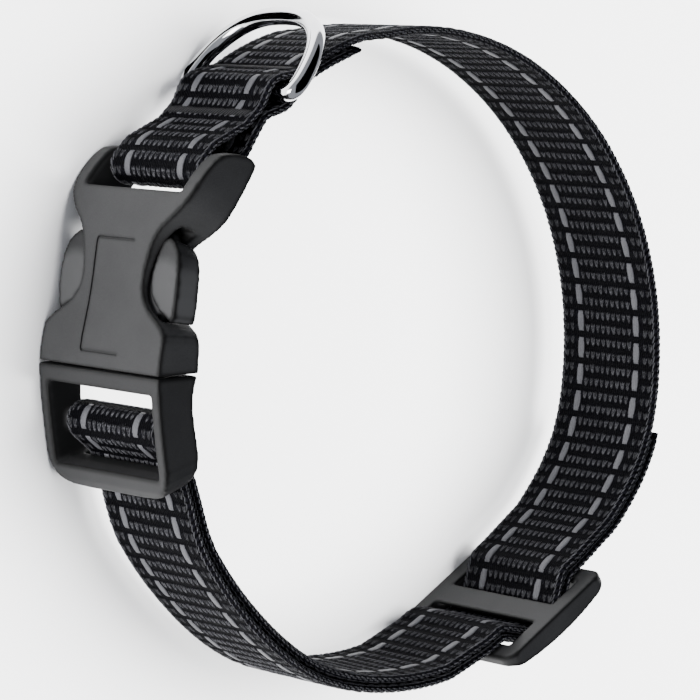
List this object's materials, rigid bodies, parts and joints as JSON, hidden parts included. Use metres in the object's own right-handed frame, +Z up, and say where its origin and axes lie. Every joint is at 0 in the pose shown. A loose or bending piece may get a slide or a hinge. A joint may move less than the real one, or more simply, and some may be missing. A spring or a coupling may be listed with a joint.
{
  "type": "dog training collar",
  "caption": "Adjustable webbing dog collar buckled into a loop, with a side-release buckle, a strap slider, a free tail and a welded ring for a lead.",
  "frame": {"origin": "on the floor under the middle of the collar's box, with the collar lying on its side", "axes": "+Z up along the axis of the neck loop; -X towards the buckle, -Y towards the slider and the tail"},
  "size_m": [0.1136, 0.1152, 0.033],
  "materials": {
    "webbing": "tightly woven, matte, with light thread marks",
    "buckle_plastic": "moulded, fine matte grain",
    "slider_plastic": "moulded, fine matte grain",
    "ring_steel": "polished, nickel plated"
  },
  "bodies": {
    "collar": {"webbing_strap": "webbing", "buckle_socket": "buckle_plastic", "buckle_plug": "buckle_plastic", "strap_slider": "slider_plastic"},
    "ring": {"d_ring": "ring_steel"}
  },
  "joints": [
    {"name": "ring_swing", "type": "hinge", "parent": "collar", "child": "ring", "pos_m": [-0.02839, 0.0439, 0.0165], "axis": [0, 0, 1], "range_deg": [-2, 135]}
  ]
}
